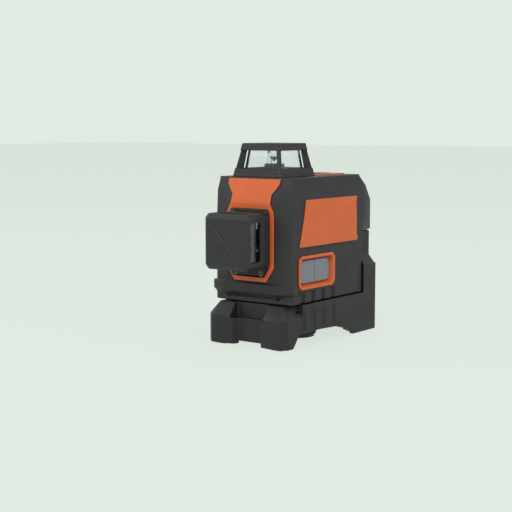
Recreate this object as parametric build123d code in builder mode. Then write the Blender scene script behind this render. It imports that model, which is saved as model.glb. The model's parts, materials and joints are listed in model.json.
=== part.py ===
"""Self-levelling laser level that throws three planes of light: one level plane and two upright ones.

The level stands on an L-shaped bracket with magnets in its back wall, and its housing turns on
the bracket's hub. Inside the housing a pendulum hangs in a two-axis gimbal and carries three
emitters, each a laser barrel with a cone mirror. They look out of the cage on top, the square window
box in front and a like box on the left.

Millimetres, +Z up. The origin is on the turning axis, in the plane the feet stand on. -Y is the front.
"""

import os
from math import sqrt

from build123d import *

# ---------------------------------------------------------------- driving dimensions
gap = 0.3  # between neighbours that don't touch
slack = 0.15  # round a piece that is dropped into a pocket
run = 0.05  # radial clearance of a turning or sliding fit
wall = 2.4  # housing skin
skin = 1.0  # thickness of the orange trim

# housing
body_half = 36.5  # half the width
front_y = -61.2  # front face
front_flat = 25.0  # half width of the flat of the front face
corner_y = -57.5  # where the front facets meet the sides
turn_r = 57.0  # the rear of the lower housing is round about the turning axis
turn_gap = 1.2  # between it and the bracket's wall
rear_y = 65.5  # rear face of the upper housing, over the bracket's wall
rear_facet_y = 46.0  # where the rear facets start
rear_flat = 31.0  # half width of the rear face
floor_z, floor_t = 34.5, 3.5
split_z = 77.0  # joint between the two shells
seal_t = 0.8
ledge_z = 85.0  # underside of the overhanging rear
top_z = 132.0
lean_z, lean_y = 112.0, 6.4  # the front leans back above this height, by this much at the top
slope_z, slope_y = 110.0, 25.0  # the rear slopes forward above this height, by this much
taper_z, taper_x = 100.0, 1.9  # the sides lean in
rim_z0, rim_z1, rim_out = 43.0, 50.0, 2.2  # bumper rim round the front
rim_back = -53.5
grip_y0, grip_step, grip_w, grip_d = -42.0, 14.0, 4.8, 1.3

# window boxes
box_z = 84.0  # height of their axes
side_y = 7.0  # where the left one sits along the side
neck_half, neck_len = 17.8, 9.5
box_half, box_len = 21.5, 22.8
box_cut, box_bevel = 3.2, 3.4
box_wall, cap_t = 2.4, 3.0
cross_deep = 0.15  # of the cross in the cap
glass_t = 1.5
slot_long, slot_wide = 30.0, 13.5
hatch_half = 16.6  # hole in the housing behind a box
plate_t = 3.5  # flange of the front box, inside the orange ring
ring_in, ring_out = 19.0, 22.5
ring_low, ring_top = 51.5, 104.0
patch_z = 108.0

# gimbal and pendulum
gimbal_y, gimbal_z = -30.0, 118.0
ring_r, ring_in_r, ring_h = 18.0, 14.2, 6.4
hanger_gap, hanger_t, hanger_half = 19.0, 4.0, 7.0
pin_r, trunnion_r = 1.5, 1.2
bearing_r, small_bearing_r = 3.2, 2.3
barrel_r, barrel_bore = 7.5, 4.6
collar_r = 10.2
block_half, block_low, block_top = 11.0, 72.0, 109.0
weight_t, damper_t, damper_r = 7.5, 2.5, 13.0
balance_y, balance_z = -40.0, 88.0  # brings the pendulum's centre of mass under the gimbal
balance_size = (11.5, 19.0, 18.0)
barrel_top = 141.7
barrel_end = 17.7  # how far the other two barrels reach out of the housing face
sleeve_r, sleeve_t, sleeve_len = 5.0, 0.8, 6.5
disc_r, disc_t, knob_t = 6.4, 1.0, 0.8

# cage over the top emitter
cage_y = -30.4
cage_half, cage_top_half = 24.0, 18.6
cage_foot_h, cage_top_z, cage_beam_h = 6.5, 158.0, 5.6
cage_lid_t = 2.6
blade_t, blade_w = 2.6, 6.6
frame_half, frame_top_half, frame_bar, pane_t = 17.2, 14.0, 1.7, 1.2

# keys on the right side
key_y0, key_y1, key_z0, key_z1 = -48.4, 1.8, 45.2, 71.5
key_rim, key_deep, key_gap = 3.0, 4.5, 0.25
bezel_proud = 0.9

# pendulum lock
lock_y, lock_z = -36.0, 51.0
lock_travel, lock_lift = 8.0, 3.0
stand_z = 50.0

# bracket
pad_t = 1.0  # the rubber pads hold the plastic off the floor by this
deck_z, deck_t = 33.5, 4.5
bracket_half = 38.3
skirt = 3.0
nose = [(10.5, -61.8), (14.0, -66.8), (26.0, -69.2), (33.0, -69.0), (38.3, -64.0)]
nose_top = 23.5
notch_half, notch_y, notch_z = 16.0, -56.5, 21.5  # cut between the feet, under the housing
nose_roof = notch_z - skirt  # the hollow under the nose ends here
nose_back = -44.0
back_y = 67.0
wall_top, cheek_top = 84.0, 57.0
wall_half, cheek_half = 31.0, 38.3
magnet_r, magnet_t = 8.0, 4.0

# hub
hub_r, hub_flange_r, hub_flange_t = 12.0, 15.5, 2.0
boss_r, hub_z0 = 17.0, 0.0
bush_t = 2.4
retainer_r, retainer_t = 16.4, 2.0
large_thread_r, large_thread_len = 6.75, 14.0  # tapping size of a 5/8-11 tripod thread
small_thread_r, small_thread_len, small_thread_y = 2.55, 9.0, -30.0  # and of a 1/4-20
screw_r = 1.5

os.makedirs("parts", exist_ok=True)
finished = []


def keep(part, name):
    """Labels a finished piece and remembers it for export."""
    part.label = name
    finished.append(part)
    return part


def at(plane, x, y, z):
    """Point of a plane's own axes, as a vector of the whole part."""
    return plane.from_local_coords(Vector(x, y, z))


# ---------------------------------------------------------------- shared outlines
def lower_outline(inset):
    """Plan of the lower housing: facetted front corners, and a rear round about the turning axis."""
    half, arc = body_half - inset, turn_r - inset
    side_end = sqrt(arc**2 - half**2)
    with BuildSketch() as plan:
        with BuildLine():
            Polyline(
                (-half, side_end),
                (-half, corner_y + inset),
                (-front_flat, front_y + inset),
                (front_flat, front_y + inset),
                (half, corner_y + inset),
                (half, side_end),
            )
            ThreePointArc((half, side_end), (0, arc), (-half, side_end))
        make_face()
    return plan.sketch


def upper_form(inset):
    """Block of the upper housing above the ledge, its faces moved in by inset."""
    half, flat = body_half - inset, rear_flat - inset * 0.6
    with BuildPart() as form:
        with BuildSketch(Plane.XY.offset(ledge_z + inset)):
            with BuildLine():
                Polyline(
                    (-flat, rear_y - inset),
                    (-half, rear_facet_y),
                    (-half, corner_y + inset),
                    (-front_flat, front_y + inset),
                    (front_flat, front_y + inset),
                    (half, corner_y + inset),
                    (half, rear_facet_y),
                    (flat, rear_y - inset),
                    close=True,
                )
            make_face()
        extrude(amount=top_z - ledge_z - 2 * inset)
        with BuildSketch(Plane.YZ):
            with BuildLine():
                Polyline(
                    (front_y + inset, ledge_z - 1),
                    (front_y + inset, lean_z - inset * 0.2),
                    (front_y + inset + lean_y, top_z),
                    (rear_y - inset * 1.3 - slope_y, top_z),
                    (rear_y - inset, slope_z - inset * 0.4),
                    (rear_y - inset, ledge_z - 1),
                    close=True,
                )
            make_face()
        extrude(amount=body_half + 1, both=True, mode=Mode.INTERSECT)
        with BuildSketch(Plane.XZ):
            with BuildLine():
                Polyline(
                    (-half, ledge_z - 1),
                    (-half, taper_z),
                    (-half + taper_x, top_z),
                    (half - taper_x, top_z),
                    (half, taper_z),
                    (half, ledge_z - 1),
                    close=True,
                )
            make_face()
        extrude(amount=2 * rear_y, both=True, mode=Mode.INTERSECT)
    return form.part


def tripod_tapping(radius, depth):
    """Tapping hole that opens downwards, with its drill point."""
    with BuildPart(mode=Mode.PRIVATE) as hole:
        Cylinder(radius, depth, align=(Align.CENTER, Align.CENTER, Align.MIN))
        with Locations((0, 0, depth)):
            Cone(radius, 0, radius * 0.6, align=(Align.CENTER, Align.CENTER, Align.MIN))
    return hole.part


# window boxes stand on these: local x across, local y up, local z outwards
front_plane = Plane(origin=(0, front_y, box_z), x_dir=(1, 0, 0), z_dir=(0, -1, 0))
side_box_plane = Plane(origin=(-body_half, side_y, box_z), x_dir=(0, -1, 0), z_dir=(-1, 0, 0))
# local x is Y and local y is Z
right_plane = Plane(origin=(body_half, 0, 0), x_dir=(0, 1, 0), z_dir=(1, 0, 0))
boss_spots = [(-29.0, -50.5), (29.0, -50.5), (-28.5, 35.0), (28.5, 35.0)]
housing_boss_r = 3.8
key_mid_y, key_mid_z = (key_y0 + key_y1) / 2, (key_z0 + key_z1) / 2
key_w, key_h = key_y1 - key_y0, key_z1 - key_z0
grips = [grip_y0 + grip_step * i for i in range(4)]
board_posts = [(y, z) for y in (-41.0, -6.0) for z in (42.3, 74.2)]
board_x, board_t = 26.0, 1.6
cage_screws_at = [(x, cage_y + y) for x in (-21.4, 21.4) for y in (-9.8, 9.8)]

# ---------------------------------------------------------------- lower housing
with BuildPart() as lower_housing:
    with BuildSketch(Plane.XY.offset(rim_z0)):
        add(lower_outline(0))
    extrude(amount=split_z - rim_z0)
    with BuildSketch(Plane.XY.offset(floor_z)):
        add(lower_outline(0))
        with Locations((0, rim_back - 5)):
            Rectangle(4 * body_half, 60, align=(Align.CENTER, Align.MAX), mode=Mode.SUBTRACT)
    extrude(amount=rim_z0 - floor_z)
    # bumper rim, and the belly under it
    with BuildSketch(Plane.XY.offset(rim_z0)):
        with BuildLine():
            rim_half = body_half + rim_out
            Polyline(
                (-body_half, rim_back + 4),
                (-rim_half, rim_back),
                (-rim_half, corner_y - rim_out * 0.6),
                (-front_flat, front_y - rim_out),
                (front_flat, front_y - rim_out),
                (rim_half, corner_y - rim_out * 0.6),
                (rim_half, rim_back),
                (body_half, rim_back + 4),
                close=True,
            )
        make_face()
    extrude(amount=rim_z1 - rim_z0)
    with BuildSketch(Plane.XY.offset(rim_z0)):
        with BuildLine():
            Polyline(
                (-rim_half, rim_back + 12),
                (-rim_half, corner_y - rim_out * 0.6),
                (-front_flat, front_y - rim_out),
                (front_flat, front_y - rim_out),
                (rim_half, corner_y - rim_out * 0.6),
                (rim_half, rim_back + 12),
                close=True,
            )
        make_face()
    extrude(amount=-(rim_z0 - floor_z), taper=44)
    # inside
    with BuildSketch(Plane.XY.offset(floor_z + floor_t)):
        add(lower_outline(wall))
    extrude(amount=split_z - floor_z, mode=Mode.SUBTRACT)
    with BuildSketch(Plane.XY.offset(floor_z)):
        with Locations(*boss_spots):
            Circle(housing_boss_r)
    extrude(amount=split_z - floor_z)
    with Locations(*[(x, y, floor_z) for x, y in boss_spots]):
        Cylinder(screw_r + slack, 200, mode=Mode.SUBTRACT)
        Cylinder(2.9, 8, mode=Mode.SUBTRACT)
    with Locations((0, 0, floor_z)):
        Cylinder(hub_r + run + bush_t, 20, mode=Mode.SUBTRACT)
    # holes behind the window boxes, the keys and the lock
    for plane in (front_plane, side_box_plane):
        with BuildSketch(plane.offset(5)):
            Rectangle(2 * hatch_half, 2 * hatch_half)
        extrude(amount=-5 - wall - 1, mode=Mode.SUBTRACT)
    with BuildSketch(right_plane.offset(3)):
        with Locations((key_mid_y, key_mid_z)):
            Rectangle(key_w - 2, key_h - 2)
    extrude(amount=-3 - wall - 1, mode=Mode.SUBTRACT)
    with Locations((-body_half, lock_y + lock_travel / 2, lock_z)):
        Box(4 * wall, 6 + lock_travel + 2 * slack, 4 + 2 * slack, mode=Mode.SUBTRACT)
    # grips
    grip_spots = [(body_half, y, floor_z) for y in grips]
    grip_spots += [(-body_half, y, floor_z) for y in grips if y < -20]
    with Locations(*grip_spots):
        Box(2 * grip_d, grip_w, 17, mode=Mode.SUBTRACT)
    # posts for the key board
    with BuildSketch(Plane.YZ.offset(board_x + board_t)):
        with Locations(*board_posts):
            Circle(2.2)
    extrude(amount=body_half - wall - board_x - board_t)
    with BuildSketch(Plane.YZ.offset(board_x + board_t)):
        with Locations(*board_posts):
            Circle(0.9)
    extrude(amount=5, mode=Mode.SUBTRACT)
keep(lower_housing.part, "lower_housing")

# ---------------------------------------------------------------- upper housing
upper_skin, upper_hollow = upper_form(0), upper_form(wall)
upper_z = split_z + seal_t
flap_x, flap_z, flap_w, flap_h, flap_t = 12.0, 97.5, 17.0, 10.0, 1.8
with BuildPart() as upper_housing:
    add(upper_skin)
    with BuildSketch(Plane.XY.offset(upper_z)):
        add(lower_outline(0))
    extrude(amount=ledge_z - upper_z)
    add(upper_hollow, mode=Mode.SUBTRACT)
    with BuildSketch(Plane.XY.offset(upper_z)):
        add(lower_outline(wall))
    extrude(amount=ledge_z + wall + 1 - upper_z, mode=Mode.SUBTRACT)
    # bosses for the long screws from below
    with BuildSketch(Plane.XY.offset(upper_z)):
        with Locations(*boss_spots):
            Circle(housing_boss_r)
        for x, y in boss_spots:
            with Locations((x + (3.4 if x > 0 else -3.4), y)):
                Rectangle(5.5, 2.4)
    extrude(amount=20)
    with Locations(*[(x, y, upper_z) for x, y in boss_spots]):
        Cylinder(screw_r, 2 * 14, mode=Mode.SUBTRACT)
    # hole for the top emitter, and the cage's screw holes
    with Locations((0, gimbal_y, top_z)):
        Cylinder(12.5, 20, mode=Mode.SUBTRACT)
    with Locations(*[(x, y, top_z) for x, y in cage_screws_at]):
        Cylinder(1.25 + slack, 20, mode=Mode.SUBTRACT)
    for plane in (front_plane, side_box_plane):
        with BuildSketch(plane.offset(5)):
            Rectangle(2 * hatch_half, 2 * hatch_half)
        extrude(amount=-5 - wall - 1, mode=Mode.SUBTRACT)
    # pocket and hole of the charging port
    with Locations((flap_x, rear_y, flap_z)):
        Box(flap_w + 2 * gap, 2 * flap_t, flap_h + 2 * gap, mode=Mode.SUBTRACT)
        Box(9.4, 30, 3.8, mode=Mode.SUBTRACT)
    fillet(edges().filter_by(Axis.X).filter_by_position(Axis.Z, top_z - 0.1, top_z + 0.1), 1.2)
keep(upper_housing.part, "upper_housing")

with BuildPart() as seam_seal:
    with BuildSketch(Plane.XY.offset(split_z)):
        add(lower_outline(0.3))
        add(lower_outline(wall - 0.2), mode=Mode.SUBTRACT)
    extrude(amount=seal_t)
    for plane in (front_plane, side_box_plane):
        with BuildSketch(plane.offset(5)):
            Rectangle(2 * hatch_half, 2 * hatch_half)
        extrude(amount=-5 - wall - 1, mode=Mode.SUBTRACT)
keep(seam_seal.part, "seam_seal")

with BuildPart() as housing_screws:
    with Locations(*[(x, y, floor_z + 1.4) for x, y in boss_spots]):
        Cylinder(2.7, 2.6, align=(Align.CENTER, Align.CENTER, Align.MIN))
        Cylinder(screw_r, upper_z + 12 - floor_z - 1.4, align=(Align.CENTER, Align.CENTER, Align.MIN))
    with Locations(*[(x, y, floor_z + 1.4) for x, y in boss_spots]):
        Cylinder(1.2, 3, mode=Mode.SUBTRACT)
keep(housing_screws.part, "housing_screws")

# ---------------------------------------------------------------- orange trim, label and key bezel
with BuildPart() as front_trim:
    with BuildSketch(Plane.YZ):
        with BuildLine():
            Polyline(
                (front_y, ring_low - 2),
                (front_y, lean_z),
                (front_y + lean_y * 0.94, lean_z + (top_z - lean_z) * 0.94),
                (front_y + lean_y * 0.94 - skin, lean_z + (top_z - lean_z) * 0.94),
                (front_y - skin, lean_z),
                (front_y - skin, ring_low - 2),
                close=True,
            )
        make_face()
    extrude(amount=40, both=True)
    with BuildSketch(Plane.XZ):
        with BuildLine():
            right = [(15.4, ring_low), (ring_out, 62.8), (ring_out, ring_top + 1)]
            right += [(18.8, 112.5), (18.8, 119.0), (24.6, 126.5), (24.8, top_z + 1)]
            Polyline(*right, *[(-x, z) for x, z in reversed(right)], close=True)
        make_face()
        with BuildLine():
            inner = [(13.6, ring_low + skin * 3.5), (ring_in, 64.0), (ring_in, ring_top), (17.0, patch_z)]
            Polyline(*inner, *[(-x, z) for x, z in reversed(inner)], close=True)
        make_face(mode=Mode.SUBTRACT)
    extrude(amount=100, both=True, mode=Mode.INTERSECT)
keep(front_trim.part, "front_trim")

with BuildPart() as label_panel:
    with BuildSketch(Plane.XZ):
        with BuildLine():
            lean = taper_x * 16 / (top_z - taper_z)
            Polyline(
                (body_half, split_z - 2),
                (body_half, taper_z),
                (body_half - lean, taper_z + 16),
                (body_half - lean + skin * 0.8, taper_z + 16),
                (body_half + skin * 0.8, taper_z),
                (body_half + skin * 0.8, split_z - 2),
                close=True,
            )
        make_face()
    extrude(amount=2 * rear_y, both=True)
    with BuildSketch(Plane.YZ):
        with BuildLine():
            Polyline(
                (-47.4, 78.4),
                (-37.6, 114.6),
                (35.4, 114.6),
                (35.4, 111.6),
                (34.2, 110.6),
                (34.2, 83.0),
                (35.4, 82.0),
                (35.4, 78.4),
                close=True,
            )
        make_face()
    extrude(amount=100, both=True, mode=Mode.INTERSECT)
keep(label_panel.part, "label_panel")

with BuildPart() as top_panel:
    with BuildSketch(Plane((0, 0, top_z))):
        with Locations((0, 16.5)):
            RectangleRounded(47, 42, 3)
        with Locations(*[(x, 14) for x in (-14.5, 0, 14.5)]):
            RectangleRounded(11.4, 15.4, 2, mode=Mode.SUBTRACT)
    extrude(amount=skin * 0.8)
keep(top_panel.part, "top_panel")

with BuildPart() as key_bezel:
    with BuildSketch(right_plane) as bezel_outer:
        with Locations((key_mid_y, key_mid_z)):
            Rectangle(key_w, key_h)
        chamfer(bezel_outer.vertices(), 3.6)
    extrude(amount=bezel_proud)
    with BuildSketch(right_plane):
        with Locations((key_mid_y, key_mid_z)):
            Rectangle(key_w - 2 - 2 * slack, key_h - 2 - 2 * slack)
    extrude(amount=-key_deep)
    with BuildSketch(right_plane.offset(bezel_proud)) as bezel_inner:
        with Locations((key_mid_y, key_mid_z)):
            Rectangle(key_w - 2 * key_rim + 1.6, key_h - 2 * key_rim + 1.6)
        chamfer(bezel_inner.vertices(), 2.6)
    extrude(amount=-key_deep - bezel_proud, taper=18, mode=Mode.SUBTRACT)
keep(key_bezel.part, "key_bezel")

mouth_w = key_w - 2 * key_rim + 1.6 - 2 * (key_deep + bezel_proud) * 0.325  # of the bezel's back
mouth_h = key_h - 2 * key_rim + 1.6 - 2 * (key_deep + bezel_proud) * 0.325
one_key = (mouth_w - 3 * key_gap) / 2


def make_key(name, side):
    """One key: cap in the bezel's mouth, lip behind it, and a foot over the board's switch."""
    middle = key_mid_y + side * (one_key + key_gap) / 2
    with BuildPart() as key:
        with BuildSketch(right_plane.offset(-key_deep - 1.6)):
            with Locations((middle + side * 0.6, key_mid_z)):
                Rectangle(one_key + 1.2, mouth_h + 2.2)
        extrude(amount=1.5)
        with BuildSketch(right_plane.offset(-key_deep - 0.4)) as cap:
            with Locations((middle, key_mid_z)):
                Rectangle(one_key, mouth_h - 2 * key_gap)
            corners = cap.vertices().sort_by(Axis.X)
            chamfer(corners[-2:] if side > 0 else corners[:2], 3.0)
        extrude(amount=3.0, taper=3)
        fillet(key.faces().sort_by(Axis.X)[-1].edges(), 0.6)
        with BuildSketch(right_plane.offset(-key_deep - 1.6)):
            with Locations((middle, key_mid_z)):
                Circle(2.0)
        extrude(amount=-0.4)
    return keep(key.part, name)


make_key("key_front", -1)
make_key("key_back", 1)

with BuildPart() as key_board:
    with BuildSketch(Plane.YZ.offset(board_x)) as board_plan:
        with Locations((-23.5, 58.25)):
            Rectangle(44, 37.5)
        fillet(board_plan.vertices(), 1.5)
        with Locations(*board_posts):
            Circle(1.1, mode=Mode.SUBTRACT)
    extrude(amount=board_t)
keep(key_board.part, "key_board")

with BuildPart() as tact_switches:
    for side in (-1, 1):
        with Locations((board_x + board_t, key_mid_y + side * (one_key + key_gap) / 2, key_mid_z)):
            Box(1.3, 5.2, 5.2, align=(Align.MIN, Align.CENTER, Align.CENTER))
keep(tact_switches.part, "tact_switches")

with BuildPart() as board_screws:
    with BuildSketch(Plane.YZ.offset(board_x - 1.2)):
        with Locations(*board_posts):
            Circle(1.9)
    extrude(amount=1.2)
    with BuildSketch(Plane.YZ.offset(board_x - 1.2)):
        with Locations(*board_posts):
            Circle(0.9)
    extrude(amount=1.2 + board_t + 4)
keep(board_screws.part, "board_screws")

# ---------------------------------------------------------------- window boxes
box_screws_at = {"front": [(-15.6, 20.4), (15.6, 20.4), (-12.5, -25.8), (12.5, -25.8)]}
side_plate_half, side_plate_t = 21.0, 2.6
box_screws_at["side"] = [(x, y) for x in (-18.6, 18.6) for y in (-18.6, 18.6)]


def make_box(name, plane, plate, spots, thick):
    """Window box: square hood with a slot in each side and a closed end, on a screwed plate."""
    slot_mid = neck_len + box_len - cap_t - 1.2 - slot_wide / 2
    with BuildPart() as box:
        with BuildSketch(plane):
            add(plate)
        extrude(amount=thick)
        with BuildSketch(plane):
            Rectangle(2 * neck_half, 2 * neck_half)
        extrude(amount=neck_len + 1)
        with BuildSketch(plane.offset(neck_len)) as hood:
            Rectangle(2 * box_half, 2 * box_half)
            chamfer(hood.vertices(), box_cut)
        extrude(amount=box_len)
        chamfer(box.faces().sort_by(Axis(at(plane, 0, 0, 0), plane.z_dir))[-1].edges(), box_bevel)
        with BuildSketch(plane):
            Rectangle(2 * (neck_half - 1.2), 2 * (neck_half - 1.2))
        extrude(amount=neck_len, mode=Mode.SUBTRACT)
        with BuildSketch(plane.offset(neck_len - 0.01 + box_wall)):
            Rectangle(2 * (box_half - box_wall), 2 * (box_half - box_wall))
        extrude(amount=box_len - cap_t - box_wall, mode=Mode.SUBTRACT)
        with BuildSketch(plane.offset(neck_len - 1)):
            Rectangle(2 * (neck_half - 1.2), 2 * (neck_half - 1.2))
        extrude(amount=box_wall + 2, mode=Mode.SUBTRACT)
        for turn in (0, 90):
            across = plane.x_dir if turn else plane.y_dir
            slot = Plane(origin=at(plane, 0, 0, slot_mid), x_dir=plane.z_dir, z_dir=across)
            with BuildSketch(slot):
                RectangleRounded(slot_wide, slot_long, 2.2)
            extrude(amount=60, both=True, mode=Mode.SUBTRACT)
        # shallow cross cut in the cap
        with BuildSketch(plane.offset(neck_len + box_len)):
            with Locations((0, 0, 0)):
                Rectangle(38, 0.9, rotation=45)
                Rectangle(38, 0.9, rotation=-45)
        extrude(amount=-cross_deep, mode=Mode.SUBTRACT)
        with BuildSketch(plane.offset(thick)):
            with Locations(*spots):
                Circle(1.25 + slack)
        extrude(amount=-thick, mode=Mode.SUBTRACT)
        with BuildSketch(plane.offset(thick)):
            with Locations(*spots):
                Circle(2.2 + slack)
        extrude(amount=-1.4, mode=Mode.SUBTRACT)
    return keep(box.part, name)


with BuildSketch() as front_plate:
    with BuildLine():
        edge = [(13.5, ring_low + 3.7 - box_z), (ring_in - 0.2, 64.1 - box_z)]
        edge += [(ring_in - 0.2, ring_top - box_z), (16.8, patch_z - 0.2 - box_z)]
        Polyline(*edge, *[(-x, y) for x, y in reversed(edge)], close=True)
    make_face()
with BuildSketch() as side_plate:
    RectangleRounded(2 * side_plate_half, 2 * side_plate_half, 3)
make_box("front_box", front_plane, front_plate.sketch, box_screws_at["front"], plate_t)
make_box("side_box", side_box_plane, side_plate.sketch, box_screws_at["side"], side_plate_t)


def make_glass(name, plane):
    """Square glass tube that lines a window box behind its slots."""
    outer = box_half - box_wall - 0.05
    with BuildPart() as glass:
        with BuildSketch(plane.offset(neck_len + box_wall + 0.05)):
            RectangleRounded(2 * outer, 2 * outer, 1.2)
            RectangleRounded(2 * (outer - glass_t), 2 * (outer - glass_t), 1.0, mode=Mode.SUBTRACT)
        extrude(amount=box_len - cap_t - box_wall - 0.15)
    return keep(glass.part, name)


make_glass("front_glass", front_plane)
make_glass("side_glass", side_box_plane)


def make_box_screws(name, plane, spots, thick):
    """Countersunk screws that hold a window box's plate on the housing."""
    with BuildPart() as screws:
        with BuildSketch(plane.offset(thick - 1.4)):
            with Locations(*spots):
                Circle(2.2)
        extrude(amount=1.2)
        with BuildSketch(plane.offset(thick - 1.4)):
            with Locations(*spots):
                Circle(1.25)
        extrude(amount=-(thick - 1.4))
        with BuildSketch(plane.offset(thick - 0.2)):
            with Locations(*spots):
                RegularPolygon(1.1, 6)
        extrude(amount=-0.8, mode=Mode.SUBTRACT)
    return keep(screws.part, name)


make_box_screws("front_box_screws", front_plane, box_screws_at["front"], plate_t)
make_box_screws("side_box_screws", side_box_plane, box_screws_at["side"], side_plate_t)

# ---------------------------------------------------------------- cage
frame_low, frame_high = top_z, cage_top_z - cage_lid_t


def cage_at(z):
    """Half width of the cage at a height."""
    share = (z - top_z) / (cage_top_z - top_z)
    return cage_half + (cage_top_half - cage_half) * share


def frame_at(z):
    """Half width of the window frame inside the cage at a height."""
    return frame_half + (frame_top_half - frame_half) * (z - frame_low) / (frame_high - frame_low)


def square_shell(z0, z1, outer, inner):
    """Tapered square ring between two heights; outer and inner give half widths at a height."""
    with BuildPart(mode=Mode.PRIVATE) as ring:
        for z, half in ((z0, outer(z0)), (z1, outer(z1))):
            with BuildSketch(Plane((0, cage_y, z))):
                Rectangle(2 * half, 2 * half)
        loft()
        for z, half in ((z0, inner(z0)), (z1, inner(z1))):
            with BuildSketch(Plane((0, cage_y, z))):
                Rectangle(2 * half, 2 * half)
        loft(mode=Mode.SUBTRACT)
    return ring.part


with BuildPart() as cage:
    add(square_shell(top_z, top_z + cage_foot_h, cage_at, lambda z: 19.0))
    add(square_shell(cage_top_z - cage_beam_h, cage_top_z, cage_at, lambda z: frame_at(z) + 0.1))
    with BuildSketch(Plane((0, cage_y, cage_top_z - cage_lid_t))):
        Rectangle(2 * cage_top_half, 2 * cage_top_half)
    extrude(amount=cage_lid_t)
    for turn in range(4):
        angle = 45 + 90 * turn
        along, facing = (Vector(*v).rotate(Axis.Z, angle) for v in ((1, 0, 0), (0, -1, 0)))
        blade = Plane(origin=(0, cage_y, 0), x_dir=along, z_dir=facing)
        with BuildSketch(blade):
            with BuildLine():
                z0, z1 = top_z + 1, cage_top_z - 1
                r0, r1 = cage_at(z0) * sqrt(2) - 1.8, cage_at(z1) * sqrt(2) - 1.8
                Polyline((r0, z0), (r1, z1), (r1 - blade_w + 2.4, z1), (r0 - blade_w, z0), close=True)
            make_face()
        extrude(amount=blade_t / 2, both=True)
    upright = cage.edges().filter_by(lambda e: abs(e.tangent_at(0.5).Z) > 0.8)
    corners = upright.filter_by(lambda e: abs(abs(e.center().X) - cage_at(e.center().Z)) < 0.05)
    corners = corners.filter_by(lambda e: abs(abs(e.center().Y - cage_y) - cage_at(e.center().Z)) < 0.05)
    chamfer(corners, 1.6)
    with Locations(*[(x, y, top_z) for x, y in cage_screws_at]):
        Cylinder(1.25, 2 * 4.5, mode=Mode.SUBTRACT)
keep(cage.part, "cage")

with BuildPart() as cage_frame:
    add(square_shell(frame_low, frame_low + 1.5, frame_at, lambda z: frame_at(z) - frame_bar))
    add(square_shell(frame_high - 1.5, frame_high, frame_at, lambda z: frame_at(z) - frame_bar))
    for sx in (-1, 1):
        for sy in (-1, 1):
            for z in (frame_low + 0.5, frame_high - 0.5):
                off = frame_at(z) - frame_bar / 2
                with BuildSketch(Plane((sx * off, cage_y + sy * off, z))):
                    Rectangle(frame_bar, frame_bar)
            loft()
keep(cage_frame.part, "cage_frame")

with BuildPart() as cage_panes:
    low, high = frame_low + 1.55, frame_high - 1.55
    for turn in range(4):
        for z in (low, high):
            flat = frame_at(z) - frame_bar - 0.05
            mid = Vector(0, -(frame_at(z) - 0.2 - pane_t / 2), 0).rotate(Axis.Z, 90 * turn)
            along = Vector(1, 0, 0).rotate(Axis.Z, 90 * turn)
            with BuildSketch(Plane((mid.X, cage_y + mid.Y, z), x_dir=along)):
                Rectangle(2 * flat, pane_t)
        loft()
keep(cage_panes.part, "cage_panes")

hanger_plate_t = 3.0
inner_top = top_z - wall
with BuildPart() as cage_screws:
    with Locations(*[(x, y, inner_top - hanger_plate_t - 1.6) for x, y in cage_screws_at]):
        Cylinder(2.2, 1.6, align=(Align.CENTER, Align.CENTER, Align.MIN))
        Cylinder(1.25, 1.6 + hanger_plate_t + wall + 4, align=(Align.CENTER, Align.CENTER, Align.MIN))
keep(cage_screws.part, "cage_screws")

# ---------------------------------------------------------------- gimbal
with BuildPart() as hanger:
    with BuildSketch(Plane((0, gimbal_y, inner_top - hanger_plate_t))):
        Rectangle(2 * (hanger_gap + hanger_t), 30)
        Circle(13.0, mode=Mode.SUBTRACT)
    extrude(amount=hanger_plate_t)
    with BuildSketch(Plane.YZ.offset(hanger_gap)) as cheek:
        with Locations((gimbal_y, gimbal_z)):
            Circle(hanger_half)
        with Locations((gimbal_y, (gimbal_z + inner_top) / 2)):
            Rectangle(2 * hanger_half, inner_top - gimbal_z)
        with Locations((gimbal_y, gimbal_z)):
            Circle(bearing_r, mode=Mode.SUBTRACT)
    extrude(amount=hanger_t)
    with BuildSketch(Plane.YZ.offset(-hanger_gap)):
        add(cheek.sketch_local)
    extrude(amount=-hanger_t)
    with Locations(*[(x, y, inner_top) for x, y in cage_screws_at]):
        Cylinder(1.25 + slack, 2 * 4, mode=Mode.SUBTRACT)
keep(hanger.part, "hanger")


def bearing(plane, outer, bore, thick):
    """Ball bearing drawn as its two races with the shield between them, standing on a plane."""
    with BuildPart(mode=Mode.PRIVATE) as race:
        with BuildSketch(plane):
            Circle(outer)
            Circle(bore, mode=Mode.SUBTRACT)
        extrude(amount=thick)
        with BuildSketch(plane.offset(thick)):
            Circle(outer - 0.45)
            Circle(bore + 0.45, mode=Mode.SUBTRACT)
        extrude(amount=-0.15, mode=Mode.SUBTRACT)
    return race.part


with BuildPart() as hanger_bearings:
    for side in (-1, 1):
        stand = Plane((side * (hanger_gap + 0.8), gimbal_y, gimbal_z), x_dir=(0, 1, 0), z_dir=(side, 0, 0))
        add(bearing(stand, bearing_r, pin_r + 0.02, 2.4))
keep(hanger_bearings.part, "hanger_bearings")

with BuildPart() as gimbal_ring:
    with Locations((0, gimbal_y, gimbal_z)):
        Cylinder(ring_r, ring_h)
        Cylinder(ring_in_r, ring_h, mode=Mode.SUBTRACT)
        Cylinder(pin_r, 60, rotation=(0, 90, 0), mode=Mode.SUBTRACT)
        Cylinder(small_bearing_r, 60, rotation=(90, 0, 0), mode=Mode.SUBTRACT)
    rims = gimbal_ring.edges().filter_by(GeomType.CIRCLE)
    chamfer(rims.filter_by(lambda e: e.radius > ring_in_r - 1), 0.5)
keep(gimbal_ring.part, "gimbal_ring")

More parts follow.
